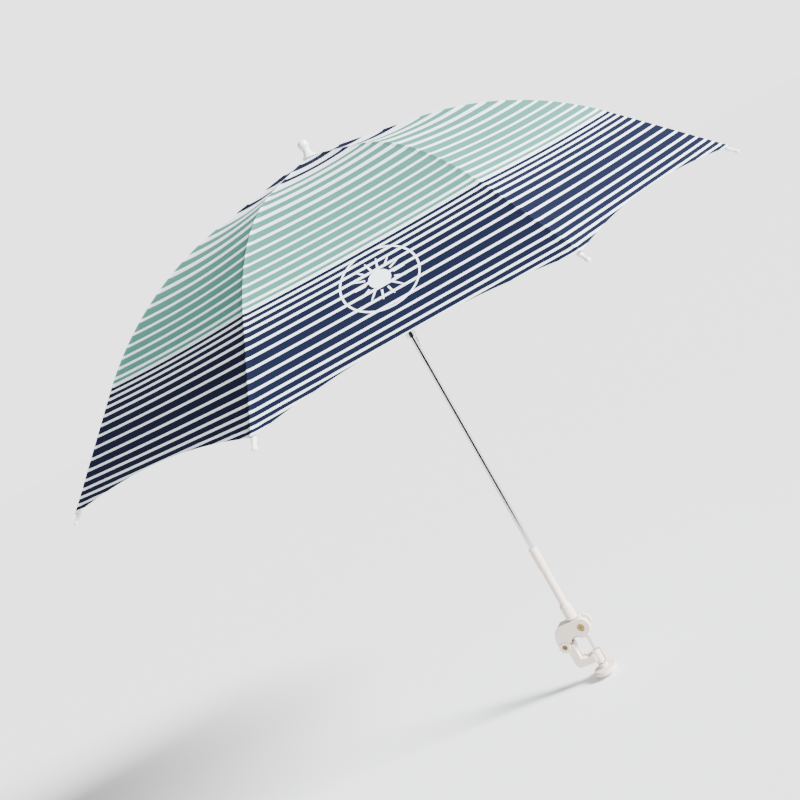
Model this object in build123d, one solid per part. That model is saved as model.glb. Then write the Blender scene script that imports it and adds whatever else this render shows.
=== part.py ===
from build123d import *
from math import acos, atan2, cos, degrees, radians, sin, tan
import os

# Clamp-on sun umbrella, millimetres, +Z up along the shaft.
# It is drawn with the crown of the canopy at z = 0 and the shaft on the Z axis.
# Every part is then shifted so that the centre of the gripped chair tube is the origin.

# ---- canopy and ribs ----
RIB_COUNT = 8
CANOPY_RADIUS = 498.0          # shaft axis to hem corner
CROWN_SLOPE = 10.7             # degrees, straight inner length of a rib
RIM_SLOPE = 43.7               # degrees, straight outer length of a rib
CROWN_RUN = 164.0              # length of the straight inner part, along the cloth
BEND_RUN = 257.0               # length of the bent part, along the cloth
CLOTH_THICKNESS = 0.6
RIB_DROP = 2.6                 # the seams' meridian to rib centre line
CLOTH_LIFT = 1.6               # cloth above that meridian, clear of the joiners and caps
CLOTH_START = 11.3             # cloth's inner corners, clear of the finial's foot
RIB_RADIUS = 1.4
PIVOT_RUN = 240.0              # crown to stretcher pivot, along the cloth
CROWN_HINGE_RADIUS = 7.5
EYE_RADIUS = 1.9
WIRE_RADIUS = 0.6
ROD_START = 1.2                # eye centre to the end of the rod inside it
JOINT_EYE = 2.5                # radius of the outer rib's eye at the joiner
RIVET_RADIUS = 1.0
RIVET_BACK = 6.5               # joiner's fixed rivet, back from the pivot
WALL_INNER, WALL_OUTER = 2.3, 3.0    # stretcher's side walls, from its middle plane
FORK_LENGTH = 48.0             # open fork at the stretcher's end, without its web
CHANNEL_START = 26.0

# ---- shaft and runner ----
SHAFT_RADIUS = 4.0
SHAFT_BORE = 3.4
SHAFT_TOP = 6.0
SHAFT_BOTTOM = -720.0
RUNNER_HINGE_RADIUS = 10.5
RUNNER_HINGE_Z = -228.0
RUNNER_TOP = -222.0
RUNNER_BOTTOM = -280.0
RUNNER_RADIUS = 7.0
CATCH_ANGLE = 22.5             # degrees from +X, between two ribs
CATCH_TOP = -283.0
CATCH_LENGTH = 15.0

# ---- folded pose ----
FOLDED_PIVOT_RADIUS = 22.0
FOLDED_TIP_RADIUS = 16.0

# ---- handle and collar ----
HANDLE_TOP = -629.0
HANDLE_HEAD_RADIUS = 6.65
HANDLE_RADIUS = 5.85
HANDLE_BOTTOM = -747.0
COLLAR_TOP = -725.0
COLLAR_BOTTOM = -749.5
COLLAR_RADIUS = 8.6

# ---- clamp ----
TILT_X, TILT_Z = 8.0, -765.0
CHEEK_RADIUS = 14.5
TONGUE_RADIUS = 10.0
TONGUE_HALF = 5.0
JAW_HALF = 10.5
JAW_UNDERSIDE = -781.0
EYE_X, EYE_Z = -29.0, -785.0
JAW_EYE_RADIUS = 9.0
JAW_PIN_RADIUS = 2.0
TUBE_X, TUBE_Z = -5.5, -785.5
TUBE_RADIUS = 9.5
PAD_THICKNESS = 1.5
BOLT_X = 7.0
BOLT_RADIUS = 2.5
BOLT_TOP = -776.0
BOLT_BOTTOM = -848.0
ARM_TOP = -811.0
ARM_BOTTOM = -824.0
BOSS_RADIUS = 7.5
BOSS_TOP = -808.0
BOSS_BOTTOM = -829.0
KNOB_RADIUS = 18.3

FIT = 0.05                     # radial running clearance
GAP = 0.4                      # free clearance between moving plastic faces

BASE = (Align.CENTER, Align.CENTER, Align.MIN)
ORIGIN_SHIFT = Pos(-TUBE_X, 0, -TUBE_Z)

os.makedirs("parts", exist_ok=True)


# ---- helpers ----
def save(node, part):
    """Writes one sub-part, moved so that the gripped tube's centre is the origin."""
    export_step(ORIGIN_SHIFT * part, f"parts/{node}.step")


def column(radius, low, high):
    """A cylinder on the shaft axis between two heights."""
    return Pos(0, 0, low) * Cylinder(radius, high - low, align=BASE)


def across(radius, half_width, x=0.0, z=0.0):
    """A cylinder along Y, centred on the plane y = 0."""
    return Pos(x, 0, z) * Rot(90, 0, 0) * Cylinder(radius, 2 * half_width)


def between(x_low, x_high, y_half, z_low, z_high):
    """A box symmetric about y = 0."""
    centre = Pos((x_low + x_high) / 2, 0, (z_low + z_high) / 2)
    return centre * Box(x_high - x_low, 2 * y_half, z_high - z_low)


def turned(points):
    """A solid turned about the Z axis from (radius, height) points."""
    return revolve(Plane.XZ * make_face(Polyline(points, close=True)), Axis.Z)


def moulded_plate(points, half_width, corner, edge):
    """A plate in the XZ plane with rounded corners and rounded rims."""
    outline = fillet(make_face(Polyline(points, close=True)).vertices(), corner)
    plate = extrude(Plane.XZ * outline, half_width, both=True)
    faces = plate.faces().sort_by(Axis.Y)
    return fillet(faces[0].edges() + faces[-1].edges(), edge)


def ring_wire(radius, z):
    """A tie wire bent into a ring round the shaft."""
    return Pos(0, 0, z) * Torus(radius, WIRE_RADIUS)


# ---- the meridian that the cloth and the ribs follow ----
bend_radius = BEND_RUN / radians(RIM_SLOPE - CROWN_SLOPE)
bend_start_x = CROWN_RUN * cos(radians(CROWN_SLOPE))
bend_start_z = -CROWN_RUN * sin(radians(CROWN_SLOPE))
bend_x = bend_start_x - bend_radius * sin(radians(CROWN_SLOPE))
bend_z = bend_start_z - bend_radius * cos(radians(CROWN_SLOPE))
bend_end_x = bend_x + bend_radius * sin(radians(RIM_SLOPE))
rim_run = (CANOPY_RADIUS - bend_end_x) / cos(radians(RIM_SLOPE))


def on_bend(slope, drop=0.0):
    """The point of the bend where it slopes by that many degrees, dropped below the cloth."""
    radius = bend_radius - drop
    return Vector(bend_x + radius * sin(radians(slope)), bend_z + radius * cos(radians(slope)))


def along(point, slope, run):
    """The point reached by running down a slope from a point, in the meridian plane."""
    return point + Vector(run * cos(radians(slope)), -run * sin(radians(slope)))


pivot_slope = CROWN_SLOPE + degrees((PIVOT_RUN - CROWN_RUN) / bend_radius)
knee = on_bend(CROWN_SLOPE, RIB_DROP)
shoulder = on_bend(RIM_SLOPE, RIB_DROP)
pivot = on_bend(pivot_slope, RIB_DROP)
crown_hinge = along(knee, CROWN_SLOPE, -(knee.X - CROWN_HINGE_RADIUS) / cos(radians(CROWN_SLOPE)))
rib_tip = along(shoulder, RIM_SLOPE, rim_run)
runner_hinge = Vector(RUNNER_HINGE_RADIUS, RUNNER_HINGE_Z)

# ---- the fold: a straight-line reading of each link at rest and folded ----
inner_link = pivot - crown_hinge
outer_link = rib_tip - pivot
stretcher_link = pivot - runner_hinge
stretcher_length = stretcher_link.length
inner_down = degrees(atan2(-inner_link.Y, inner_link.X))
outer_down = degrees(atan2(-outer_link.Y, outer_link.X))
stretcher_up = degrees(atan2(stretcher_link.Y, stretcher_link.X))
inner_folded = degrees(acos((FOLDED_PIVOT_RADIUS - crown_hinge.X) / inner_link.length))
outer_folded = degrees(acos((FOLDED_TIP_RADIUS - FOLDED_PIVOT_RADIUS) / outer_link.length))
folded_pivot_z = crown_hinge.Y - inner_link.length * sin(radians(inner_folded))
folded_reach = FOLDED_PIVOT_RADIUS - RUNNER_HINGE_RADIUS
stretcher_folded = degrees(acos(folded_reach / stretcher_length))
folded_runner_z = folded_pivot_z - stretcher_length * sin(radians(stretcher_folded))


def in_meridian(start, end, slope=None):
    """A straight edge of the meridian, or an arc that starts at that slope."""
    first, last = (start.X, start.Y), (end.X, end.Y)
    if slope is None:
        return Plane.XZ * Line(first, last)
    return Plane.XZ * TangentArc(first, last, tangent=(cos(radians(slope)), -sin(radians(slope))))


def rod_along(path, start, slope, radius):
    """A round rod swept along a path that starts at a point with a slope."""
    heading = Vector(cos(radians(slope)), 0, -sin(radians(slope)))
    section = Plane(origin=(start.X, 0, start.Y), z_dir=heading) * Circle(radius)
    return sweep(section, path=path)


# ---- crown ----
def finial():
    """Ball finial on a flared foot, screwed over the top of the shaft."""
    ball_z, ball_radius = 17.0, 7.6
    foot = turned([(0, 0.2), (4, 0.2), (10, -1.1), (10, 0.6), (7.2, 3.4), (5.5, 6.5), (5.3, 9), (5.3, 15), (0, 15)])
    body = foot + Pos(0, 0, ball_z) * Sphere(ball_radius)
    return body - column(SHAFT_RADIUS + FIT, -2, SHAFT_TOP + 0.2)


def crown_notch():
    """Slotted disc fixed under the cloth, where the rib ends are wired in."""
    disc = column(9.5, -10, -2.5) - column(SHAFT_RADIUS, -11, 0)
    slot = between(5.6, 12, RIB_RADIUS + 0.15, -12, 0)
    for step in range(RIB_COUNT):
        disc -= Rot(0, 0, step * 360 / RIB_COUNT) * slot
    return disc - Pos(0, 0, crown_hinge.Y) * Torus(CROWN_HINGE_RADIUS, WIRE_RADIUS + FIT)


# ---- ribs ----
def rod_eye(point):
    """The eye at a rod's end, with its hole for the ring wire."""
    eye = across(EYE_RADIUS, RIB_RADIUS, point.X, point.Y)
    return eye, across(WIRE_RADIUS + 0.2, 2 * RIB_RADIUS, point.X, point.Y)


def rib_inner():
    """Inner rib: straight, then bending down to just short of the joiner's pivot."""
    stop_slope = pivot_slope - degrees((JOINT_EYE + GAP) / bend_radius)
    stop = on_bend(stop_slope, RIB_DROP)
    start = along(crown_hinge, CROWN_SLOPE, ROD_START)
    path = in_meridian(start, knee) + in_meridian(knee, stop, CROWN_SLOPE)
    eye, hole = rod_eye(crown_hinge)
    rod = rod_along(path, start, CROWN_SLOPE, RIB_RADIUS)
    fixed = along(pivot, pivot_slope, -RIVET_BACK)
    return rod + eye - hole - across(RIVET_RADIUS, 3, fixed.X, fixed.Y)


def rib_outer():
    """Outer rib: from its eye in the joiner, round the bend and straight to the hem."""
    path = in_meridian(pivot, shoulder, pivot_slope) + in_meridian(shoulder, rib_tip)
    rod = rod_along(path, pivot, pivot_slope, RIB_RADIUS)
    eye = across(JOINT_EYE, RIB_RADIUS - FIT, pivot.X, pivot.Y)
    return rod + eye - across(RIVET_RADIUS + FIT, 3, pivot.X, pivot.Y)


def joiner():
    """Two side plates with two rivets that join the rib's halves."""
    inner_face, outer_face = RIB_RADIUS + 0.05, RIB_RADIUS + 0.75
    back = along(pivot, pivot_slope, -RIVET_BACK)
    centre = (pivot + back) * 0.5
    web = SlotOverall(RIVET_BACK + 5.2, 5.2)
    plate = Pos(centre.X, 0, centre.Y) * Rot(0, pivot_slope, 0) * Rot(90, 0, 0) * extrude(web, outer_face - inner_face)
    near = Pos(0, -inner_face, 0) * plate
    far = Pos(0, outer_face, 0) * plate
    rivets = across(RIVET_RADIUS, outer_face, pivot.X, pivot.Y)
    rivets += across(RIVET_RADIUS - 0.02, outer_face, back.X, back.Y)
    return near + far + rivets


def rib_cap():
    """Moulded cap on a rib's end: collar, waist and rounded nose."""
    cap = turned([
        (0, -4), (3.0, -4), (3.25, -1), (3.25, 1), (2.4, 3), (2.4, 8),
        (3.1, 10), (3.1, 11.6), (2.3, 13.3), (0, 14),
    ])
    cap -= column(RIB_RADIUS + FIT, -5, 0.2)
    return Pos(rib_tip.X, 0, rib_tip.Y) * Rot(0, 90 + RIM_SLOPE, 0) * cap


# ---- stretchers ----
def stretcher():
    """Pressed channel that props a rib: wired to the runner, forked round the rib."""
    reach = stretcher_length
    end = reach + WALL_OUTER
    rod = Rot(0, 90, 0) * Cylinder(RIB_RADIUS, CHANNEL_START + 2, align=BASE)
    eye, hole = rod_eye(Vector(0, 0))
    channel = between(CHANNEL_START, reach, WALL_OUTER, -1.2, 3.0)
    channel += across(WALL_OUTER - 0.9, WALL_OUTER, reach, 0.9)
    channel -= between(CHANNEL_START + 6, end + 1, WALL_INNER, -2, 2.2)
    channel -= between(reach - FORK_LENGTH, end + 1, WALL_INNER, -2, 4)
    channel -= across(RIVET_RADIUS + FIT, 4, reach, 0)
    lever = rod + eye - hole + channel
    return Pos(runner_hinge.X, 0, runner_hinge.Y) * Rot(0, -stretcher_up, 0) * lever


# ---- cloth ----
def canopy():
    """Eight flat-across panels sewn along the ribs, with a hole for the shaft."""
    half_angle = 180 / RIB_COUNT
    squeeze = cos(radians(half_angle))
    half = CLOTH_THICKNESS / 2

    def skin(side):
        first = Vector(CLOTH_START, -CLOTH_START * tan(radians(CROWN_SLOPE)) + side)
        knee_point = on_bend(CROWN_SLOPE, -side)
        middle = on_bend((CROWN_SLOPE + RIM_SLOPE) / 2, -side)
        shoulder_point = on_bend(RIM_SLOPE, -side)
        hem = along(shoulder_point, RIM_SLOPE, rim_run)
        return [(p.X * squeeze, p.Y) for p in (first, knee_point, middle, shoulder_point, hem)]

    top, under = skin(CLOTH_LIFT + half), skin(CLOTH_LIFT - half)
    outline = Line(top[0], top[1]) + ThreePointArc(*top[1:4]) + Line(top[3], top[4])
    outline += Line(top[4], under[4]) + Line(under[4], under[3])
    outline += ThreePointArc(*under[3:0:-1]) + Line(under[1], under[0]) + Line(under[0], top[0])
    reach = CANOPY_RADIUS * sin(radians(half_angle)) + 5
    band = extrude(Plane.XZ * make_face(outline), reach, both=True)
    side = 1.2 * CANOPY_RADIUS
    seam_gap = 0.05
    wedge = make_face(Polyline(
        (seam_gap, 0),
        (side, (side - seam_gap) * tan(radians(half_angle))),
        (side, -(side - seam_gap) * tan(radians(half_angle))),
        close=True,
    ))
    panel = band & Pos(0, 0, -CANOPY_RADIUS) * extrude(wedge, 2 * CANOPY_RADIUS)
    turns = [(step + 0.5) * 360 / RIB_COUNT for step in range(RIB_COUNT)]
    return Compound(children=[Rot(0, 0, turn) * panel for turn in turns])


# ---- shaft, runner and catch ----
def catch_slot(depth, width, low, high):
    """A radial slot on the catch's side."""
    return Rot(0, 0, CATCH_ANGLE) * between(0, depth, width / 2, low, high)


def shaft():
    """Chromed tube with a slot for the spring catch."""
    tube = column(SHAFT_RADIUS, SHAFT_BOTTOM, SHAFT_TOP) - column(SHAFT_BORE, SHAFT_BOTTOM - 1, SHAFT_TOP - 2)
    return tube - catch_slot(6, 2.0, CATCH_TOP - CATCH_LENGTH - 0.6, CATCH_TOP + 0.6)


def catch():
    """Wedge of the spring catch that holds the runner up."""
    low = CATCH_TOP - CATCH_LENGTH
    wedge = Polyline((0.8, CATCH_TOP), (6.0, CATCH_TOP), (6.0, CATCH_TOP - 3), (4.2, low), (0.8, low), close=True)
    return Rot(0, 0, CATCH_ANGLE) * extrude(Plane.XZ * make_face(wedge), 0.8, both=True)


def runner():
    """Sliding sleeve with a slotted head for the stretchers and a rim at its foot."""
    head_low, head_high, head_radius = -233.5, -223, 13.2
    sleeve = column(RUNNER_RADIUS, RUNNER_BOTTOM, RUNNER_TOP)
    sleeve += column(head_radius, head_low, head_high)
    sleeve += column(RUNNER_RADIUS + 0.9, RUNNER_BOTTOM, RUNNER_BOTTOM + 6)
    slot = between(8.3, 16, RIB_RADIUS + 0.15, head_low - 1, head_high + 2)
    for step in range(RIB_COUNT):
        sleeve -= Rot(0, 0, step * 360 / RIB_COUNT) * slot
    sleeve -= Pos(0, 0, RUNNER_HINGE_Z) * Torus(RUNNER_HINGE_RADIUS, WIRE_RADIUS + FIT)
    sleeve -= column(SHAFT_RADIUS + FIT, RUNNER_BOTTOM - 1, RUNNER_TOP + 1)
    return sleeve - catch_slot(6.3, 2.2, RUNNER_BOTTOM - 1, RUNNER_TOP + 1)


# ---- handle and collar ----
def handle():
    """Moulded grip with a thicker head, pushed over the shaft and into the collar."""
    grip = turned([
        (0, HANDLE_BOTTOM), (HANDLE_RADIUS, HANDLE_BOTTOM), (HANDLE_RADIUS, -668),
        (HANDLE_HEAD_RADIUS, -663), (HANDLE_HEAD_RADIUS, HANDLE_TOP - 1.2),
        (HANDLE_HEAD_RADIUS - 1.2, HANDLE_TOP), (0, HANDLE_TOP),
    ])
    return grip - column(SHAFT_RADIUS + FIT, SHAFT_BOTTOM - 1, HANDLE_TOP + 1)


def collar():
    """Socket for the handle, with the tongue that tilts between the clamp's cheeks."""
    socket = turned([
        (0, COLLAR_BOTTOM), (COLLAR_RADIUS, COLLAR_BOTTOM), (COLLAR_RADIUS, COLLAR_TOP - 3),
        (COLLAR_RADIUS - 1.6, COLLAR_TOP), (0, COLLAR_TOP),
    ])
    socket -= column(HANDLE_RADIUS + FIT, HANDLE_BOTTOM - 0.2, COLLAR_TOP + 1)
    tongue = across(TONGUE_RADIUS, TONGUE_HALF, TILT_X, TILT_Z)
    tongue += between(-4, TILT_X + TONGUE_RADIUS - 6, TONGUE_HALF, TILT_Z, COLLAR_BOTTOM)
    return socket + tongue - across(BOLT_RADIUS, 20, TILT_X, TILT_Z)


# ---- clamp ----
def upper_jaw():
    """Fixed jaw: two cheeks for the tilt, a saddle over the tube and the hinge tongue."""
    block = moulded_plate(
        [(8, -751), (-24, -753), (-33, -760), (-37, -772), (-37, JAW_UNDERSIDE), (14, JAW_UNDERSIDE), (16, -765)],
        JAW_HALF, 2.0, 1.4,
    )
    dome = across(CHEEK_RADIUS, JAW_HALF, TILT_X, TILT_Z)
    jaw = block + fillet(dome.edges().filter_by(GeomType.CIRCLE), 1.4)
    jaw += across(JAW_EYE_RADIUS, TONGUE_HALF, EYE_X, EYE_Z)
    for side in (-1, 1):
        pocket = across(JAW_EYE_RADIUS + GAP, JAW_HALF / 2, EYE_X, EYE_Z)
        jaw -= Pos(0, side * (TONGUE_HALF + JAW_HALF / 2), 0) * pocket
    slot_half = TONGUE_HALF + GAP
    jaw -= across(TONGUE_RADIUS + GAP, slot_half, TILT_X, TILT_Z)
    jaw -= between(-6, TILT_X, slot_half, TILT_Z, TILT_Z + 20)
    jaw -= between(TILT_X, TILT_X + 16, slot_half, TILT_Z - 5, TILT_Z + 20)
    jaw -= across(TUBE_RADIUS + PAD_THICKNESS, 2 * JAW_HALF, TUBE_X, TUBE_Z)
    jaw -= Pos(BOLT_X, 0, 0) * column(BOLT_RADIUS + FIT, JAW_UNDERSIDE - 5, BOLT_TOP + 0.1)
    jaw -= across(BOLT_RADIUS, 20, TILT_X, TILT_Z)
    jaw -= Pos(0, -JAW_HALF, 0) * across(6.2, 3.0, TILT_X, TILT_Z)
    jaw -= Pos(0, JAW_HALF, 0) * across(5.0, 2.2, TILT_X, TILT_Z)
    return jaw - across(JAW_PIN_RADIUS + 0.02, 20, EYE_X, EYE_Z)


def lower_jaw():
    """Hinged jaw: two eyes, an arm under the tube and a slotted boss for the bolt."""
    wall = TUBE_X - TUBE_RADIUS - 0.5
    arm = moulded_plate(
        [(EYE_X + 1, EYE_Z), (wall, EYE_Z), (wall, ARM_TOP), (BOLT_X - 2, ARM_TOP), (BOLT_X - 2, ARM_BOTTOM),
         (-23, ARM_BOTTOM), (EYE_X + 1, ARM_BOTTOM + 5)],
        9.2, 1.5, 1.2,
    )
    eyes = across(JAW_EYE_RADIUS, JAW_HALF - 0.1, EYE_X, EYE_Z)
    jaw = arm + fillet(eyes.edges().filter_by(GeomType.CIRCLE), 1.4)
    boss = Pos(BOLT_X, 0, BOSS_BOTTOM) * Cylinder(BOSS_RADIUS, BOSS_TOP - BOSS_BOTTOM, align=BASE)
    jaw += fillet(boss.edges().filter_by(GeomType.CIRCLE), 1.0)
    jaw -= across(JAW_EYE_RADIUS + GAP, TONGUE_HALF + GAP, EYE_X, EYE_Z)
    jaw -= Pos(BOLT_X, 0, 0) * column(BOLT_RADIUS + 0.3, BOSS_BOTTOM - 1, BOSS_TOP + 1)
    jaw -= between(BOLT_X, BOLT_X + 12, BOLT_RADIUS + 0.3, BOSS_BOTTOM - 1, BOSS_TOP + 1)
    saddle_z = ARM_TOP - 2.2 + TUBE_RADIUS
    jaw -= across(TUBE_RADIUS, 2 * JAW_HALF, TUBE_X, saddle_z)
    jaw -= Pos(0, -JAW_HALF, 0) * across(4.2, 2.0, EYE_X, EYE_Z)
    return jaw - across(JAW_PIN_RADIUS + FIT, 20, EYE_X, EYE_Z)


def jaw_pin():
    """Screw that the lower jaw hinges on, with a cross-slotted head at the front."""
    shank = across(JAW_PIN_RADIUS, 10.0, EYE_X, EYE_Z)
    head = Pos(0, -JAW_HALF + 1.1, 0) * across(3.7, 0.7, EYE_X, EYE_Z)
    screw = shank + fillet(head.edges().filter_by(GeomType.CIRCLE), 0.4)
    slot_y = -JAW_HALF + 0.4
    screw -= Pos(EYE_X, slot_y, EYE_Z) * Box(5, 0.8, 0.8)
    return screw - Pos(EYE_X, slot_y, EYE_Z) * Box(0.8, 0.8, 5)


def jaw_pad():
    """Rubber liner of the upper saddle, a third of a ring."""
    ring = across(TUBE_RADIUS + PAD_THICKNESS, 9.5) - across(TUBE_RADIUS, 10)
    spread = 60
    fan = make_face(Polyline((0, 0), (-30 * sin(radians(spread)), 30 * cos(radians(spread))), (0, 60),
                             (30 * sin(radians(spread)), 30 * cos(radians(spread))), close=True))
    pad = ring & extrude(Plane.XZ * fan, 12, both=True)
    return Pos(TUBE_X, 0, TUBE_Z) * pad


def clamp_bolt():
    """Bolt that hangs from the upper jaw and pulls the lower jaw up."""
    return Pos(BOLT_X, 0, 0) * column(BOLT_RADIUS, BOLT_BOTTOM, BOLT_TOP)


def knob_washer():
    """Steel washer between the boss and the knob."""
    ring = column(6.5, BOSS_BOTTOM - 2.2, BOSS_BOTTOM - 1) - column(BOLT_RADIUS + FIT, BOSS_BOTTOM - 3, BOSS_BOTTOM)
    return Pos(BOLT_X, 0, 0) * ring


def knob():
    """Round hand nut with a dished face and a raised hub."""
    top = BOSS_BOTTOM - 2.3
    knob_body = turned([
        (0, top), (6.8, top), (7.4, top - 5.5), (16.6, top - 7.2), (KNOB_RADIUS, top - 9.2),
        (KNOB_RADIUS, top - 12.6), (16.4, top - 14.6), (12.8, top - 14.4), (9.2, top - 12.8),
        (8.2, top - 16.5), (6.0, top - 18.6), (0, top - 19.2),
    ])
    bore = column(BOLT_RADIUS + FIT, BOLT_BOTTOM - 0.8, top + 1)
    return Pos(BOLT_X, 0, 0) * (knob_body - bore)


def tilt_bolt():
    """Cross bolt of the tilt, with its round head at the back."""
    shank = across(BOLT_RADIUS - FIT, 9.5, TILT_X, TILT_Z)
    head = Pos(0, JAW_HALF - 1.1, 0) * across(4.6, 1.0, TILT_X, TILT_Z)
    return shank + fillet(head.edges().filter_by(GeomType.CIRCLE), 0.5)


def tilt_nut():
    """Brass hexagon nut in the front recess."""
    prism = Rot(90, 0, 0) * extrude(RegularPolygon(5.2, 6), 2.2)
    nut = Pos(TILT_X, -JAW_HALF + 3.0, TILT_Z) * prism
    return nut - across(BOLT_RADIUS - FIT, 20, TILT_X, TILT_Z)


# ---- write every sub-part ----
single_parts = {
    "finial": finial(),
    "crown_notch": crown_notch(),
    "crown_wire": ring_wire(CROWN_HINGE_RADIUS, crown_hinge.Y),
    "canopy": canopy(),
    "shaft": shaft(),
    "catch": catch(),
    "runner": runner(),
    "runner_wire": ring_wire(RUNNER_HINGE_RADIUS, RUNNER_HINGE_Z),
    "handle": handle(),
    "collar": collar(),
    "upper_jaw": upper_jaw(),
    "lower_jaw": lower_jaw(),
    "jaw_pin": jaw_pin(),
    "jaw_pad": jaw_pad(),
    "clamp_bolt": clamp_bolt(),
    "knob_washer": knob_washer(),
    "knob": knob(),
    "tilt_bolt": tilt_bolt(),
    "tilt_nut": tilt_nut(),
}
for name, solid in single_parts.items():
    save(name, solid)

spoke_parts = {
    "rib_inner": rib_inner(),
    "rib_outer": rib_outer(),
    "joiner": joiner(),
    "rib_cap": rib_cap(),
    "stretcher": stretcher(),
}
for name, solid in spoke_parts.items():
    for step in range(RIB_COUNT):
        save(f"{name}_{step + 1}", Rot(0, 0, step * 360 / RIB_COUNT) * solid)

print("rib fold", inner_folded - inner_down, "whole outer rib", outer_folded - outer_down)
print("stretcher fold", stretcher_folded - stretcher_up, "runner travel", RUNNER_HINGE_Z - folded_runner_z)
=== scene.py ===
"""Clamp-on sun umbrella: cloth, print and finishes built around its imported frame."""

import math

import bpy
import numpy as np
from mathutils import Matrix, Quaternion, Vector


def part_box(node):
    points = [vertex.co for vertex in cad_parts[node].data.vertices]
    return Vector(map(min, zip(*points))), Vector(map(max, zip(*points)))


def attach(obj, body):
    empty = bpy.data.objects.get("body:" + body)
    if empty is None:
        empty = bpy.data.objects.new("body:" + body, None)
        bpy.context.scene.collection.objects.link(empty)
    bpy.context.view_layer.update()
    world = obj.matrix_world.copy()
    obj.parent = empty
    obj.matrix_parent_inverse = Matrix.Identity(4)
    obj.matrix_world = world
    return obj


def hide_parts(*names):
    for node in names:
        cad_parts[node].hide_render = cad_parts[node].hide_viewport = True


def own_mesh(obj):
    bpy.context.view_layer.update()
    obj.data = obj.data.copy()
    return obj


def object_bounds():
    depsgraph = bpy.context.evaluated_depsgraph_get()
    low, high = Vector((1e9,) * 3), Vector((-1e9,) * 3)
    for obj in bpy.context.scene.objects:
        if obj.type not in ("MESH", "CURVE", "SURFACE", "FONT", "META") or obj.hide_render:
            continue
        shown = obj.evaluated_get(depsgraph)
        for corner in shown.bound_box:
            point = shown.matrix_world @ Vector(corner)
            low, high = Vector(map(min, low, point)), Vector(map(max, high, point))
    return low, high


bl_info = {
    "name": "Clamp-on sun umbrella",
    "version": (1, 0, 0),
    "blender": (4, 5, 0),
    "location": "View3D > Sidebar > Umbrella",
    "description": "Sewn canopy, printed stripes, moulded and plated finishes",
    "category": "Object",
}

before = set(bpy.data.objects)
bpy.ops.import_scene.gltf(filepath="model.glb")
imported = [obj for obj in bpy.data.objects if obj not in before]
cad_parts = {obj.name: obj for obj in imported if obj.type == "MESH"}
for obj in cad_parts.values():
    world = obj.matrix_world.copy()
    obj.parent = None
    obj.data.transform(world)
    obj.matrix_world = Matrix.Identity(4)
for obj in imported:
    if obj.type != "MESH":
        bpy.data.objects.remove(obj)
CAD_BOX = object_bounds()

# ---- places read from the frame, metres ----
RIB_COUNT = 8
HALF_PANEL = math.pi / RIB_COUNT
SHAFT_LOW, SHAFT_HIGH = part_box("shaft")
SHAFT_X = (SHAFT_LOW.x + SHAFT_HIGH.x) / 2
SHAFT_OVER_CROWN = 0.006
CROWN_Z = SHAFT_HIGH.z - SHAFT_OVER_CROWN

# ---- the seam's meridian: straight, bend, straight ----
CROWN_SLOPE = math.radians(10.7)
RIM_SLOPE = math.radians(43.7)
CROWN_RUN = 0.164
BEND_RUN = 0.257
BEND_RADIUS = BEND_RUN / (RIM_SLOPE - CROWN_SLOPE)
HEM_RUN = 0.5754
CLOTH_INNER_RUN = 0.0052
PIVOT_RUN = 0.240

# ---- mesh rows and columns of half a panel ----
COLUMNS = 27
INNER_ROWS = 60
OUTER_ROWS, LAST_OPEN_SHARE = 84, 0.965
HEM_ROWS, FIRST_HEM_SHARE = 9, 0.971

# ---- runs over which the sewn details fade in, and their widths ----
LIFT_FADE = (0.012, 0.045)
SEAM_FADE = (0.02, 0.05)
PUCKER_FADE = (0.05, 0.12)
PUCKER_WIDTH = 0.012
HEM_EDGE = 0.0012

# ---- the print, in runs from the crown ----
PRINT_EDGE = 0.0001
SUN_EDGE = 0.0003
CROWN_RINGS = ((0.0, 0.012), (0.047, 0.0808), (0.1128, 0.1336))
MINT_START, MINT_END = 0.1600, 0.4105
MINT_STRETCH, MINT_SHIFT = 0.972, 0.0046
MINT_COUNT = (286.04, -139.37, 53.76, -6.418)
MINT_GAP_RUNS = (0.150, 0.360)
MINT_GAP_LEAST, MINT_GAP_MORE = 0.0040, 0.0120
NAVY_START, NAVY_END = 0.4155, HEM_RUN + 0.01
NAVY_LENGTH, NAVY_DENSITY, NAVY_DIP = 0.16186, 126.88, 59.70
EDGE_LINE = 0.0034
WEAVE_PITCH = 0.00045

# ---- the sun motif, in shares of its radius ----
SUN_DISC = 0.28
SUN_RAYS = (0.36, 0.66)
SUN_RING = 0.95

# ---- a colour Mix node's sockets ----
MIX_FACTOR, MIX_FIRST, MIX_SECOND, MIX_RESULT = 0, 6, 7, 2


# ---- settings ----
def length(name, value, description, **more):
    """A length property in metres."""
    return bpy.props.FloatProperty(
        name=name, default=value, description=description, unit="LENGTH", precision=5, **more)


def share(name, value, description, **more):
    """A plain factor property."""
    return bpy.props.FloatProperty(name=name, default=value, description=description, **more)


def paint(name, value, description):
    """A colour property in scene-linear RGB."""
    return bpy.props.FloatVectorProperty(
        name=name, default=value, description=description, subtype="COLOR", size=3, min=0, max=1)


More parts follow.
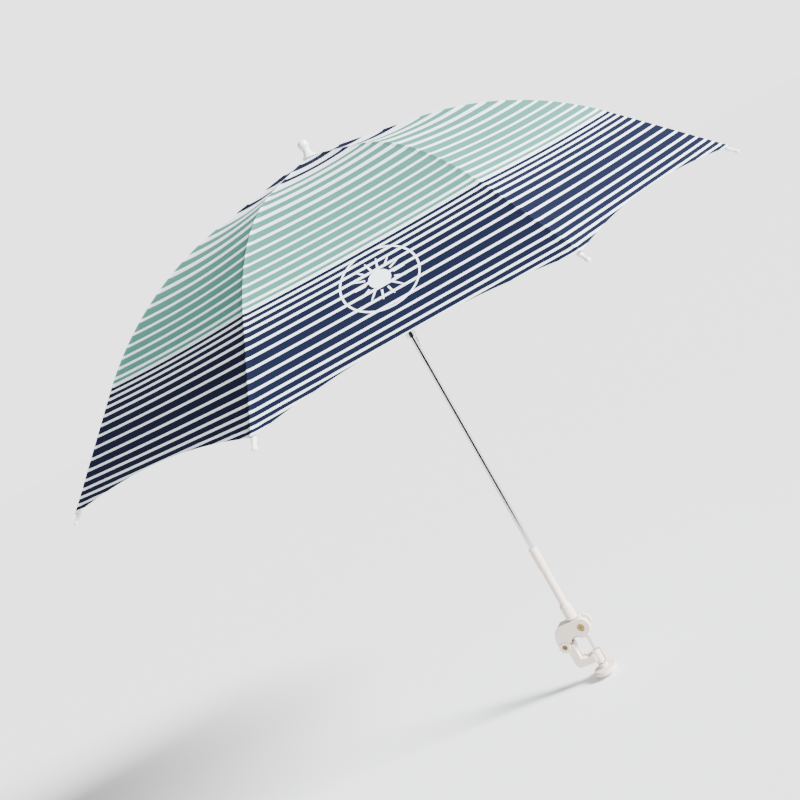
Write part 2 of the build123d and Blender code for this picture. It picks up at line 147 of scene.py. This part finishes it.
class UmbrellaClothSettings(bpy.types.PropertyGroup):
    """How the panels are cut, sewn and hemmed."""

    thickness: length("Thickness", 0.0005, "Thickness of the woven cloth")
    lift: length("Lift", 0.0014, "Height of the cloth above the seam line, clear of the rib fittings")
    sag: length("Sag", 0.004, "How far the middle of a panel sinks between two ribs")
    scoop: length("Hem scoop", 0.021, "How far the hem curves in between two ribs")
    hem_width: length("Hem width", 0.007, "Width of the folded and stitched hem")
    hem_rise: length("Hem rise", 0.00045, "How far the folded hem stands above the cloth")
    seam_width: length("Seam width", 0.0032, "Half width of the sewn seam over a rib")
    seam_rise: length("Seam rise", 0.0007, "How far the sewn seam stands above the cloth")
    pucker: length("Pucker", 0.00035, "Height of the small gathers beside a seam")
    pucker_pitch: length("Pucker pitch", 0.019, "Distance between two gathers")


class UmbrellaPrintSettings(bpy.types.PropertyGroup):
    """Colours and spacing of the printed stripes."""

    navy: paint("Navy", (0.0066, 0.0090, 0.0270), "Dark stripes near the hem and the crown")
    edge: paint("Edge line", (0.004, 0.007, 0.024), "The darker line that starts the navy band")
    mint: paint("Mint", (0.064, 0.208, 0.168), "Stripes of the wide middle band")
    white: paint("White", (0.820, 0.890, 0.950), "Ground colour of the cloth")
    gap: length("White gap", 0.0034, "White between two navy stripes")
    motif_run: length("Motif run", 0.466, "Distance of the sun motif from the crown")
    motif_size: length("Motif size", 0.046, "Radius of the sun motif over its rays")
    motif_rays: bpy.props.IntProperty(name="Motif rays", default=14, min=6, max=32,
                                      description="Number of rays round the sun motif")


class UmbrellaFinishSettings(bpy.types.PropertyGroup):
    """Colours of the mouldings and metal parts."""

    moulding: paint("Moulding", (0.80, 0.69, 0.60), "Warm white of the handle and clamp")
    gloss: paint("Gloss white", (0.93, 0.93, 0.94), "Cool white of the finial and tip caps")
    rod: paint("Rib rod", (0.80, 0.80, 0.77), "Glass-fibre ribs")
    plated: paint("Plated steel", (0.66, 0.67, 0.69), "Shaft and runner")
    pressed: paint("Pressed metal", (0.62, 0.63, 0.64), "Stretchers and joiners")
    dark_brass: paint("Dark brass", (0.17, 0.125, 0.055), "Hinge screw")
    brass: paint("Brass", (0.36, 0.24, 0.08), "Tilt nut")
    rubber: paint("Rubber", (0.030, 0.030, 0.032), "Liner of the upper jaw")


class UmbrellaStageSettings(bpy.types.PropertyGroup):
    """Floor, lights and camera."""

    floor: paint("Floor", (0.97, 0.97, 0.97), "Plain pale floor")
    camera_place: bpy.props.FloatVectorProperty(
        name="Camera place", default=(0.6478, -1.5567, 0.6422), unit="LENGTH", precision=5,
        description="Where the camera stands")
    camera_aim: bpy.props.FloatVectorProperty(
        name="Camera aim", default=(0.0820, 0.0111, 0.3629), unit="LENGTH", precision=5,
        description="The point on the camera's axis near the shaft")
    camera_roll: bpy.props.FloatProperty(
        name="Camera roll", default=-math.radians(29.2), subtype="ANGLE",
        description="Turn of the camera about its own axis")
    camera_lens: share("Lens", 54.48, "Focal length in millimetres on a 36 mm sensor")
    camera_shift: share("Shift", -0.1375, "Sideways shift of the view, in sensor widths")
    key_strength: share("Key strength", 17.0, "Strength of the soft key light")
    key_azimuth: bpy.props.FloatProperty(name="Key azimuth", default=math.radians(-5), subtype="ANGLE",
                                         description="Direction of the key light, from +X towards +Y")
    key_height: bpy.props.FloatProperty(name="Key height", default=math.radians(26), subtype="ANGLE",
                                        description="Height of the key light over the floor")
    key_spread: bpy.props.FloatProperty(name="Key spread", default=math.radians(16), subtype="ANGLE",
                                        description="Angle that the key light spans, which softens shadows")
    ambient: share("Ambient", 0.6, "Brightness of the surroundings as they light the object")
    backdrop: share("Backdrop", 2.88, "Brightness of the surroundings behind the object")


# ---- surfaces ----
def meridian(run):
    """The seam line: for each run from the crown, its distance from the shaft axis, its
    height over the crown and its slope. It is a straight line, then an arc that turns
    from the crown's slope to the rim's slope, then a straight line again."""
    on_crown = np.minimum(run, CROWN_RUN)
    on_bend = np.clip(run - CROWN_RUN, 0, BEND_RUN)
    on_rim = np.maximum(run - CROWN_RUN - BEND_RUN, 0)
    slope = CROWN_SLOPE + on_bend / BEND_RADIUS
    reach = (on_crown * math.cos(CROWN_SLOPE)
             + BEND_RADIUS * (np.sin(slope) - math.sin(CROWN_SLOPE))
             + on_rim * math.cos(RIM_SLOPE))
    height = (-on_crown * math.sin(CROWN_SLOPE)
              + BEND_RADIUS * (np.cos(slope) - math.cos(CROWN_SLOPE))
              - on_rim * math.sin(RIM_SLOPE))
    return reach, height, slope


def ease(low, high, value):
    """Smooth step from 0 at low to 1 at high."""
    t = np.clip((value - low) / (high - low), 0, 1)
    return t * t * (3 - 2 * t)


def panel_half(rib, side, inner, cloth):
    """Half of a sewn panel, from its middle line to a rib, as grids of points and print
    coordinates. Each point is on a straight line square to the panel's middle line, at
    the seam's distance and height for its run, and the rows curve in towards the hem as
    its scoop does. On top of that come a parabola of sag, a bell-shaped seam over the
    rib with small sine gathers beside it, and a raised hem."""
    across = 1 - (1 - np.linspace(0, 1, COLUMNS)) ** 2
    if inner:
        down = np.linspace(0, 1, INNER_ROWS)
    else:
        down = np.concatenate([np.linspace(0, LAST_OPEN_SHARE, OUTER_ROWS),
                               np.linspace(FIRST_HEM_SHARE, 1, HEM_ROWS)])
    q, v = np.meshgrid(across, down)
    start, end = (CLOTH_INNER_RUN, PIVOT_RUN) if inner else (PIVOT_RUN, HEM_RUN)
    scoop = 0 if inner else cloth.scoop * (1 - q ** 2)
    run = start + v * (end - scoop - start)
    reach, height, slope = meridian(run)
    from_seam = reach * math.sin(HALF_PANEL) * (1 - q)
    lift = cloth.lift * ease(*LIFT_FADE, run)
    lift = lift - cloth.sag * (1 - q ** 2) * np.sin(math.pi * run / HEM_RUN)
    seam = np.exp(-(from_seam / cloth.seam_width) ** 2)
    lift = lift + cloth.seam_rise * seam * ease(*SEAM_FADE, run)
    gathers = np.sin(2 * math.pi * run / cloth.pucker_pitch)
    gathers = gathers * np.exp(-from_seam / PUCKER_WIDTH) * (1 - seam)
    lift = lift + cloth.pucker * gathers * ease(*PUCKER_FADE, run)
    if not inner:
        to_hem = HEM_RUN - scoop - run
        off_hem = ease(cloth.hem_width - HEM_EDGE, cloth.hem_width, to_hem)
        lift = lift + cloth.hem_rise * (1 - off_hem)
    middle = 2 * math.pi * rib / RIB_COUNT + side * HALF_PANEL
    out = np.array([math.cos(middle), math.sin(middle)])
    along = np.array([-math.sin(middle), math.cos(middle)]) * -side
    lifted = reach + lift * np.sin(slope)
    chord = lifted * math.cos(HALF_PANEL)
    offset = q * lifted * math.sin(HALF_PANEL)
    points = np.stack([
        SHAFT_X + chord * out[0] + offset * along[0],
        chord * out[1] + offset * along[1],
        CROWN_Z + height + lift * np.cos(slope),
    ], axis=-1)
    return points, np.stack([offset * -side, run], axis=-1)


def panel_area(inner, cloth):
    """Flat area of half a panel: its half width summed along the run, by the trapezium
    rule, where the slant of the middle line shortens each step, less the hem's scoop."""
    start, end = (CLOTH_INNER_RUN, PIVOT_RUN) if inner else (PIVOT_RUN, HEM_RUN)
    run = np.linspace(start, end, 200)
    reach, _, slope = meridian(run)
    step = np.hypot(np.cos(slope) * math.cos(HALF_PANEL), np.sin(slope))
    strip = reach * math.sin(HALF_PANEL) * step
    area = float(np.sum((strip[1:] + strip[:-1]) / 2) * (run[1] - run[0]))
    if not inner:
        parabola = 2 / 3
        area -= cloth.scoop * reach[-1] * math.sin(HALF_PANEL) * parabola * step[-1]
    return area


def grid_mesh(name, points, uv, outward):
    """A mesh from a grid of points with a print map, its faces turned to the side that
    the outward direction gives at the grid's middle. The grid's borders are sharp."""
    rows, columns = points.shape[:2]
    index = np.arange(rows * columns).reshape(rows, columns)
    corners = index[:-1, :-1], index[:-1, 1:], index[1:, 1:], index[1:, :-1]
    quads = np.stack(corners, axis=-1).reshape(-1, 4)
    flat = points.reshape(-1, 3)
    middle = quads[len(quads) // 2]
    normal = np.cross(flat[middle[2]] - flat[middle[0]], flat[middle[3]] - flat[middle[1]])
    if normal @ np.asarray(outward) < 0:
        quads = quads[:, ::-1]
    mesh = bpy.data.meshes.new(name)
    mesh.from_pydata(flat.tolist(), [], quads.tolist())
    layer = mesh.uv_layers.new(name="print")
    layer.data.foreach_set("uv", uv.reshape(-1, 2)[quads.ravel()].ravel())
    mesh.polygons.foreach_set("use_smooth", np.ones(len(quads), bool))
    mesh.update()
    ends = np.empty(len(mesh.edges) * 2, np.int32)
    mesh.edges.foreach_get("vertices", ends)
    row, column = np.divmod(ends.reshape(-1, 2), columns)
    border = np.zeros(len(mesh.edges), bool)
    for place, last in ((row, rows - 1), (column, columns - 1)):
        border |= (place == 0).all(axis=1) | (place == last).all(axis=1)
    mesh.attributes.new("sharp_edge", "BOOLEAN", "EDGE").data.foreach_set("value", border)
    piece = bpy.data.objects.new(name, mesh)
    bpy.context.scene.collection.objects.link(piece)
    return piece


# ---- shader expressions ----
class Value:
    """A socket in a material that Python expressions can work on."""

    def __init__(self, tree, socket):
        self.tree, self.socket = tree, socket

    def node(self, kind, settings=(), inputs=(), output=0):
        """Adds a node, sets its settings, then fills its sockets with values or links."""
        made = self.tree.nodes.new(kind)
        for key, value in dict(settings).items():
            setattr(made, key, value)
        for key, value in dict(inputs).items():
            if isinstance(value, Value):
                self.tree.links.new(value.socket, made.inputs[key])
            else:
                made.inputs[key].default_value = value
        return Value(self.tree, made.outputs[output])

    def maths(self, operation, *values):
        """A Math node on the given numbers and sockets."""
        return self.node("ShaderNodeMath", {"operation": operation}, dict(enumerate(values)))

    def __add__(self, other):
        return self.maths("ADD", self, other)

    def __mul__(self, other):
        return self.maths("MULTIPLY", self, other)

    def __sub__(self, other):
        return self.maths("SUBTRACT", self, other)

    def __rsub__(self, other):
        return self.maths("SUBTRACT", other, self)

    def sine(self):
        """The sine of this angle."""
        return self.maths("SINE", self)

    def cosine(self):
        """The cosine of this angle."""
        return self.maths("COSINE", self)

    def root(self):
        """The square root."""
        return self.maths("SQRT", self)

    def part(self):
        """What is left over after whole numbers are taken away."""
        return self.maths("FRACT", self)

    def size(self):
        """The value without its sign."""
        return self.maths("ABSOLUTE", self)

    def high(self, other):
        """The larger of two values."""
        return self.maths("MAXIMUM", self, other)

    def rise(self, low, high):
        """0 below low, 1 above high and a smooth step in between."""
        return self.node("ShaderNodeMapRange", {"interpolation_type": "SMOOTHSTEP"},
                         {"Value": self, "From Min": low, "From Max": high})

    def mix(self, first, second):
        """A colour between two, with this value as the share of the second."""
        return blend(self.tree, self, first, second)

    def noise(self, scale, detail=3.0, rough=0.55, stretch=None):
        """Noise from 0 to 1 on this vector, which may be stretched first."""
        vector = self
        if stretch:
            vector = self.node("ShaderNodeMapping", {}, {"Vector": self, "Scale": stretch})
        return self.node("ShaderNodeTexNoise", {},
                         {"Vector": vector, "Scale": scale, "Detail": detail, "Roughness": rough})


def blend(tree, factor, first, second, kind="MIX"):
    """A colour Mix node of the given kind, on numbers, colours and sockets."""
    made = tree.nodes.new("ShaderNodeMix")
    made.data_type, made.blend_type = "RGBA", kind
    for key, value in ((MIX_FACTOR, factor), (MIX_FIRST, first), (MIX_SECOND, second)):
        socket = made.inputs[key]
        if isinstance(value, Value):
            tree.links.new(value.socket, socket)
        else:
            socket.default_value = (*value, 1) if hasattr(value, "__len__") else value
    return Value(tree, made.outputs[MIX_RESULT])


class Finish:
    """A new material: its Principled shader, a place vector and helpers to fill it."""

    def __init__(self, name, **constants):
        self.material = bpy.data.materials.new(name)
        self.material.use_nodes = True
        self.tree = self.material.node_tree
        self.shader = self.tree.nodes["Principled BSDF"]
        for key, value in constants.items():
            socket = self.shader.inputs[key.replace("_", " ")]
            socket.default_value = (*value, 1) if hasattr(value, "__len__") else value
        coordinates = self.tree.nodes.new("ShaderNodeTexCoord")
        self.place = Value(self.tree, coordinates.outputs["Object"])
        self.print = Value(self.tree, coordinates.outputs["UV"])

    def feed(self, socket, value):
        """Links a value to one of the shader's sockets."""
        self.tree.links.new(value.socket, self.shader.inputs[socket])

    def bump(self, height, distance):
        """Raises the surface by a height value times a distance in metres."""
        self.feed("Normal", height.node(
            "ShaderNodeBump", {}, {"Height": height, "Distance": distance, "Strength": 1.0}))


def tone(colour, factor):
    """A colour made lighter or darker by a factor."""
    return tuple(min(1.0, c * factor) for c in colour)


# ---- finishes ----
def band(position, start, end):
    """1 between two runs, with an edge a fifth of a millimetre wide."""
    began = position.rise(start - PRINT_EDGE, start + PRINT_EDGE)
    return began * (1 - position.rise(end - PRINT_EDGE, end + PRINT_EDGE))


def crown_rings(run):
    """1 on one of the navy rings near the crown."""
    rings = band(run, *CROWN_RINGS[0])
    for ends in CROWN_RINGS[1:]:
        rings = rings.high(band(run, *ends))
    return rings


def mint_stripes(run):
    """1 on a mint stripe. The count of stripes is a cubic of the run, scaled and shifted a
    little, and the white gap between two stripes narrows away from the crown."""
    cubed, squared, plain, first = MINT_COUNT
    at = run * MINT_STRETCH + MINT_SHIFT
    count = at * at * at * cubed + at * at * squared + at * plain + first
    per_metre = at * at * (3 * cubed) + at * (2 * squared) + plain
    gap = (1 - run.rise(*MINT_GAP_RUNS)) * MINT_GAP_MORE + MINT_GAP_LEAST
    stripe = 1 - (count.part() - (1 - per_metre * gap)).rise(-0.015, 0.015)
    return stripe * count.part().rise(0.0, 0.02) * band(run, MINT_START, MINT_END)


def navy_stripes(run, gap):
    """1 on a navy stripe. The stripes per metre fall to the middle of the band and rise
    again, by half a sine, and the white gap between two stripes is constant."""
    along = run - NAVY_START
    angle = along * (math.pi / NAVY_LENGTH)
    count = along * NAVY_DENSITY + (angle.cosine() - 1) * (NAVY_DIP * NAVY_LENGTH / math.pi)
    per_metre = angle.sine() * -NAVY_DIP + NAVY_DENSITY
    stripe = 1 - (count.part() - (1 - per_metre * gap)).rise(-0.02, 0.02)
    return stripe * count.part().rise(0.0, 0.03) * band(run, NAVY_START, NAVY_END)


def sun_motif(across, run, settings):
    """1 on the sun: a disc, rays that taper outwards and a thin ring round them."""
    radius = settings.motif_size
    disc_end, ray_start, ray_end = radius * SUN_DISC, radius * SUN_RAYS[0], radius * SUN_RAYS[1]
    rise = run - settings.motif_run
    far = (across * across + rise * rise).root()
    angle = across.maths("ARCTAN2", rise, across)
    spoke = (angle * (settings.motif_rays / (2 * math.pi)) + 0.5).part()
    half_ray = 0.30 - far * (0.26 / ray_end)
    rays = 1 - ((spoke - 0.5).size() - half_ray).rise(-0.02, 0.02)
    disc = 1 - far.rise(disc_end - SUN_EDGE, disc_end + SUN_EDGE)
    ring = band(far, radius * SUN_RING, radius)
    return disc.high(ring).high(rays * band(far, ray_start, ray_end))


def printed_cloth(settings, name, fade=0.0, with_motif=False):
    """Woven cloth with the printed rings and stripes, and the sun where it is asked for.
    The fade pales the print towards white."""
    cloth = Finish(name, Specular_IOR_Level=0.05, IOR=1.45)
    across = cloth.print.node("ShaderNodeSeparateXYZ", {}, {0: cloth.print})
    run = Value(cloth.tree, across.socket.node.outputs[1])

    wear = cloth.place.noise(9.0, 4.0)
    fine = cloth.place.noise(160.0, 2.0)
    white = wear.mix(tone(settings.white, 0.96), settings.white)
    mint = wear.mix(tone(settings.mint, 0.93), tone(settings.mint, 1.04))
    navy = wear.mix(tone(settings.navy, 0.88), tone(settings.navy, 1.12))
    colour = mint_stripes(run).mix(white, mint)
    colour = navy_stripes(run, settings.gap).high(crown_rings(run)).mix(colour, navy)
    colour = band(run, NAVY_START, NAVY_START + EDGE_LINE).mix(colour, settings.edge)
    if with_motif:
        colour = sun_motif(across, run, settings).mix(colour, tone(settings.white, 1.05))
    thread = fine.mix(tone((1, 1, 1), 0.93), (1, 1, 1))
    colour = blend(cloth.tree, 1.0, colour, thread, "MULTIPLY")
    if fade:
        colour = blend(cloth.tree, fade, colour, tone(settings.white, 0.75))
    cloth.feed("Base Color", colour)
    cloth.feed("Roughness", wear * 0.10 + fine * 0.08 + 0.62)
    warp = (across * (2 * math.pi / WEAVE_PITCH)).sine()
    weft = (run * (2 * math.pi / WEAVE_PITCH)).sine()
    ripple = cloth.place.noise(26.0, 2.0)
    cloth.bump(warp * weft * 0.05 + fine * 0.25 + ripple * 1.2, 0.0004)
    return cloth.material


def moulding(name, colour, roughness, coat):
    """Moulded plastic: slightly uneven colour, a fine satin grain and polished wear."""
    plastic = Finish(name, IOR=1.47, Coat_Roughness=0.18)
    shade = plastic.place.noise(38.0, 3.0)
    grain = plastic.place.noise(2600.0, 2.0)
    soft = plastic.place.noise(420.0, 2.0)
    plastic.feed("Base Color", shade.mix(tone(colour, 0.955), tone(colour, 1.02)))
    plastic.feed("Roughness", shade * 0.10 + soft * 0.08 + roughness)
    plastic.feed("Coat Weight", shade * 0.1 + coat)
    plastic.bump(grain * 0.6 + soft * 0.8, 0.00004)
    return plastic.material


def metal(name, colour, roughness, stretch=(1, 1, 0.04), scratch=0.00001):
    """Metal with a fine grain, drawn out into streaks by the stretch, and small changes
    in polish. The scratch is the depth of the grain in metres."""
    plate = Finish(name, Metallic=1.0)
    streaks = plate.place.noise(1500.0, 3.0, stretch=stretch)
    cloud = plate.place.noise(30.0, 2.0)
    plate.feed("Base Color", cloud.mix(tone(colour, 0.93), tone(colour, 1.03)))
    plate.feed("Roughness", streaks * 0.10 + cloud * 0.06 + roughness)
    plate.bump(streaks, scratch)
    return plate.material


def rubber(name, colour):
    """Soft matt rubber with a fine pebble."""
    liner = Finish(name, IOR=1.5)
    pebble = liner.place.noise(1100.0, 3.0)
    liner.feed("Base Color", pebble.mix(tone(colour, 0.7), tone(colour, 1.5)))
    liner.feed("Roughness", pebble * 0.15 + 0.68)
    liner.bump(pebble, 0.0001)
    return liner.material


def glass_rod(name, colour):
    """Glass-fibre rod: pale, with a fine grain of fibres under a clear skin."""
    rod = Finish(name, IOR=1.5, Coat_Roughness=0.1)
    fibre = rod.place.noise(900.0, 3.0)
    cloud = rod.place.noise(25.0, 2.0)
    rod.feed("Base Color", fibre.mix(tone(colour, 0.88), tone(colour, 1.04)))
    rod.feed("Roughness", fibre * 0.10 + cloud * 0.05 + 0.24)
    rod.feed("Coat Weight", cloud * 0.2 + 0.3)
    rod.bump(fibre, 0.00003)
    return rod.material


def dress(node, material):
    """Gives a frame part its finish."""
    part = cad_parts[node]
    part.data.materials.clear()
    part.data.materials.append(material)


# ---- operators ----
class UMBRELLA_OT_canopy(bpy.types.Operator):
    """Sews the eight striped panels, each in halves that go with their ribs"""

    bl_idname = "umbrella.canopy"
    bl_label = "Canopy"

    def execute(self, context):
        cloth, colours = context.scene.umbrella_cloth, context.scene.umbrella_print
        outside = printed_cloth(colours, "striped_cloth")
        marked = printed_cloth(colours, "striped_cloth_with_sun", with_motif=True)
        inside = printed_cloth(colours, "striped_cloth_reverse", fade=0.30)
        # the front panel is the left half at one rib and the right half at the next
        front_left, front_right = 7, 8
        for rib in range(RIB_COUNT):
            for side in (-1, 1):
                for inner in (True, False):
                    on_front = (rib + 1, side) in ((front_left, 1), (front_right, -1))
                    face = marked if on_front and not inner else outside
                    self.half(cloth, rib, side, inner, (face, inside))
        return {"FINISHED"}

    def half(self, cloth, rib, side, inner, materials):
        """One half panel: its mesh, finish and body. Its cut width and area are worked out but not kept."""
        part, hand = ("inner" if inner else "outer"), ("left" if side > 0 else "right")
        name = f"canopy_{rib + 1}_{hand}_{part}"
        points, uv = panel_half(rib, side, inner, cloth)
        piece = grid_mesh(name, points, uv, (0, 0, 1))
        for material in materials:
            piece.data.materials.append(material)
        wall = piece.modifiers.new("cloth wall", "SOLIDIFY")
        wall.thickness, wall.offset, wall.material_offset = cloth.thickness, -1, 1
        bpy.context.view_layer.update()
        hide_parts("canopy")
        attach(piece, f"rib_{part}_{rib + 1}")
        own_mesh(piece)
        outer_run = PIVOT_RUN if inner else HEM_RUN
        width = float(meridian(np.array([outer_run]))[0][0]) * math.sin(HALF_PANEL)
        panel_area(inner, cloth)


class UMBRELLA_OT_mouldings(bpy.types.Operator):
    """Gives the handle, clamp, crown, catch, finial, caps and liner their finishes"""

    bl_idname = "umbrella.mouldings"
    bl_label = "Mouldings"

    def execute(self, context):
        finish = context.scene.umbrella_finish
        satin = moulding("warm_white_satin", finish.moulding, 0.34, 0.05)
        gloss = moulding("cool_white_gloss", finish.gloss, 0.16, 0.55)
        for node in ("handle", "collar", "upper_jaw", "lower_jaw", "knob", "crown_notch", "catch"):
            dress(node, satin)
        dress("finial", gloss)
        for rib in range(RIB_COUNT):
            dress(f"rib_cap_{rib + 1}", gloss)
        dress("jaw_pad", rubber("dark_rubber", finish.rubber))
        return {"FINISHED"}


class UMBRELLA_OT_metalwork(bpy.types.Operator):
    """Gives the shaft, runner, ribs, stretchers, wires and screws their finishes"""

    bl_idname = "umbrella.metalwork"
    bl_label = "Metalwork"

    def execute(self, context):
        finish = context.scene.umbrella_finish
        plated = metal("bright_plate", finish.plated, 0.07)
        pressed = metal("pressed_metal", finish.pressed, 0.24, (1, 1, 1), 0.00002)
        wire = metal("drawn_wire", tone(finish.pressed, 0.8), 0.30, (1, 1, 1))
        rod = glass_rod("glass_fibre", finish.rod)
        dress("shaft", plated)
        dress("runner", plated)
        for node in ("crown_wire", "runner_wire", "knob_washer"):
            dress(node, wire)
        dress("clamp_bolt", pressed)
        dark = metal("dark_brass", finish.dark_brass, 0.32, (1, 1, 1), 0.00002)
        for node in ("jaw_pin", "tilt_bolt"):
            dress(node, dark)
        dress("tilt_nut", metal("plain_brass", finish.brass, 0.26, (1, 1, 1), 0.00002))
        for rib in range(1, RIB_COUNT + 1):
            dress(f"rib_inner_{rib}", rod)
            dress(f"rib_outer_{rib}", rod)
            dress(f"joiner_{rib}", pressed)
            dress(f"stretcher_{rib}", pressed)
        return {"FINISHED"}


class UMBRELLA_OT_stage(bpy.types.Operator):
    """Sets up the pale floor, the lights, the dark card and the camera"""

    bl_idname = "umbrella.stage"
    bl_label = "Stage"

    def execute(self, context):
        stage = context.scene.umbrella_stage
        self.floor(stage)
        self.lights(stage)
        self.dark_card(stage)
        self.camera(context, stage)
        return {"FINISHED"}

    def floor(self, stage):
        """A wide flat floor at the height of the object's lowest point."""
        mesh = bpy.data.meshes.new("floor")
        half, low = 14.0, CAD_BOX[0].z
        mesh.from_pydata([(-half, -half, low), (half, -half, low), (half, half, low), (-half, half, low)],
                         [], [(0, 1, 2, 3)])
        floor = bpy.data.objects.new("floor", mesh)
        bpy.context.scene.collection.objects.link(floor)
        ground = Finish("pale_floor", Roughness=0.9)
        cloud = ground.place.noise(3.0, 2.0)
        ground.feed("Base Color", cloud.mix(tone(stage.floor, 0.995), stage.floor))
        floor.data.materials.append(ground.material)

    def lights(self, stage):
        """An even pale world that is brighter to look at than it shines, and a soft key light."""
        world = bpy.data.worlds.new("studio")
        world.use_nodes = True
        back = world.node_tree.nodes["Background"]
        back.inputs["Color"].default_value = (1, 1, 1, 1)
        light_path = world.node_tree.nodes.new("ShaderNodeLightPath")
        seen = Value(world.node_tree, light_path.outputs["Is Camera Ray"])
        strength = seen * (stage.backdrop - stage.ambient) + stage.ambient
        world.node_tree.links.new(strength.socket, back.inputs["Strength"])
        bpy.context.scene.world = world
        light = bpy.data.lights.new("key", "SUN")
        light.energy, light.angle = stage.key_strength, stage.key_spread
        lamp = bpy.data.objects.new("key", light)
        flat = math.cos(stage.key_height)
        towards = Vector((flat * math.cos(stage.key_azimuth), flat * math.sin(stage.key_azimuth),
                          math.sin(stage.key_height)))
        lamp.location = towards * 4
        lamp.rotation_mode = "QUATERNION"
        lamp.rotation_quaternion = (-towards).to_track_quat("-Z", "Y")
        bpy.context.scene.collection.objects.link(lamp)

    def dark_card(self, stage):
        """A dark card on the camera's side of the object, which the camera doesn't see.
        It only shows in reflections and casts no shadow."""
        side = Vector((stage.camera_place[0], stage.camera_place[1], 0)).normalized()
        along = Vector((-side.y, side.x, 0))
        distance, half, low, high = 0.9, 0.8, CAD_BOX[0].z, 1.4
        centre = side * distance
        corners = [centre + along * x + Vector((0, 0, z))
                   for x, z in ((-half, low), (half, low), (half, high), (-half, high))]
        mesh = bpy.data.meshes.new("dark_card")
        mesh.from_pydata([tuple(c) for c in corners], [], [(0, 1, 2, 3)])
        card = bpy.data.objects.new("dark_card", mesh)
        bpy.context.scene.collection.objects.link(card)
        black = Finish("black_card", Roughness=1.0, Specular_IOR_Level=0.0)
        black.shader.inputs["Base Color"].default_value = (0.02, 0.02, 0.02, 1)
        card.data.materials.append(black.material)
        card.visible_camera = card.visible_diffuse = card.visible_shadow = False

    def camera(self, context, stage):
        """A camera aimed at a point near the shaft and rolled about its own axis."""
        data = bpy.data.cameras.new("camera")
        data.lens, data.sensor_width, data.shift_x = stage.camera_lens, 36.0, stage.camera_shift
        camera = bpy.data.objects.new("camera", data)
        bpy.context.scene.collection.objects.link(camera)
        place, aim = Vector(stage.camera_place), Vector(stage.camera_aim)
        camera.location = place
        camera.rotation_mode = "QUATERNION"
        camera.rotation_quaternion = (
            (aim - place).to_track_quat("-Z", "Y") @ Quaternion((0, 0, 1), stage.camera_roll))
        context.scene.camera = camera


class UMBRELLA_PT_panel(bpy.types.Panel):
    """Lists the umbrella's steps and settings"""

    bl_idname = "UMBRELLA_PT_panel"
    bl_label = "Sun umbrella"
    bl_space_type = "VIEW_3D"
    bl_region_type = "UI"
    bl_category = "Umbrella"

    def draw(self, context):
        for operator in OPERATORS:
            self.layout.operator(operator.bl_idname)
        for attribute in SETTINGS:
            group = getattr(context.scene, attribute)
            box = self.layout.box()
            for key in group.__annotations__:
                box.prop(group, key)


OPERATORS = (UMBRELLA_OT_canopy, UMBRELLA_OT_mouldings, UMBRELLA_OT_metalwork, UMBRELLA_OT_stage)
SETTINGS = {
    "umbrella_cloth": UmbrellaClothSettings,
    "umbrella_print": UmbrellaPrintSettings,
    "umbrella_finish": UmbrellaFinishSettings,
    "umbrella_stage": UmbrellaStageSettings,
}


def register():
    """Registers the settings, the steps and the panel."""
    for attribute, group in SETTINGS.items():
        bpy.utils.register_class(group)
        setattr(bpy.types.Scene, attribute, bpy.props.PointerProperty(type=group))
    for made in (*OPERATORS, UMBRELLA_PT_panel):
        bpy.utils.register_class(made)


def unregister():
    """Takes everything out again, in reverse."""
    for made in (UMBRELLA_PT_panel, *reversed(OPERATORS)):
        bpy.utils.unregister_class(made)
    for attribute, group in reversed(SETTINGS.items()):
        delattr(bpy.types.Scene, attribute)
        bpy.utils.unregister_class(group)


def main():
    """Registers the add-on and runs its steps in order."""
    register()
    bpy.ops.umbrella.stage()
    bpy.ops.umbrella.canopy()
    bpy.ops.umbrella.mouldings()
    bpy.ops.umbrella.metalwork()


if __name__ == "__main__":
    main()
